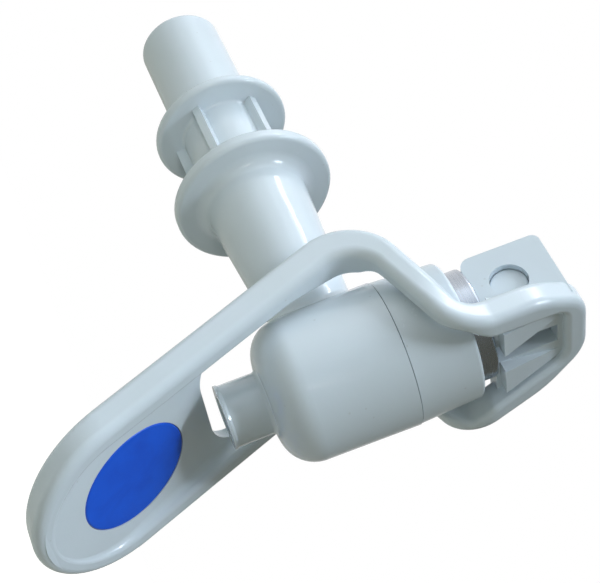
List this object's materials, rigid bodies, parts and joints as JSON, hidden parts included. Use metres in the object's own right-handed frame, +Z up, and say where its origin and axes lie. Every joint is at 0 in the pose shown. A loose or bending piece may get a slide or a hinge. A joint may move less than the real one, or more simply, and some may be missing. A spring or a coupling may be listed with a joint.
{
  "type": "beverage dispenser spigot",
  "caption": "Push-lever water tap with a flanged inlet pipe, a screwed bonnet, a sprung lift stem and a forked lever whose paddle carries an oval insert.",
  "frame": {"origin": "on the inlet pipe axis, in the plane where the large flange seats on the dispenser wall", "axes": "+Z up along the barrel towards the lever head, +Y along the inlet pipe away from the barrel, +X to the right seen from the front"},
  "size_m": [0.0336, 0.104, 0.0981],
  "materials": {
    "white_plastic": "semi-gloss moulded plastic",
    "blue_plastic": "satin coloured plastic",
    "steel": "polished drawn stainless steel",
    "silicone": "matt translucent silicone"
  },
  "bodies": {
    "tap": {"body": "white_plastic", "cap": "white_plastic", "collar": "steel"},
    "plunger": {"stem": "white_plastic", "pin": "white_plastic", "spring": "steel", "seat_cup": "silicone"},
    "handle": {"lever": "white_plastic", "insert": "blue_plastic"}
  },
  "joints": [
    {"name": "stem_lift", "type": "slide", "parent": "tap", "child": "plunger", "axis": [0, 0, 1], "range_m": [0, 0.0024], "stiffness_N_per_m": 60, "springref_m": -0.004, "deforming": ["spring", "seat_cup"]},
    {"name": "lever_tilt", "type": "hinge", "parent": "plunger", "child": "handle", "pos_m": [0, -0.0463, 0.031], "axis": [1, 0, 0], "range_deg": [0, 18], "stiffness_Nm_per_rad": 0.05, "springref_deg": -5.73}
  ],
  "couplings": [
    {"joint": "stem_lift", "follows": "lever_tilt", "m_per_rad": 0.0073}
  ]
}
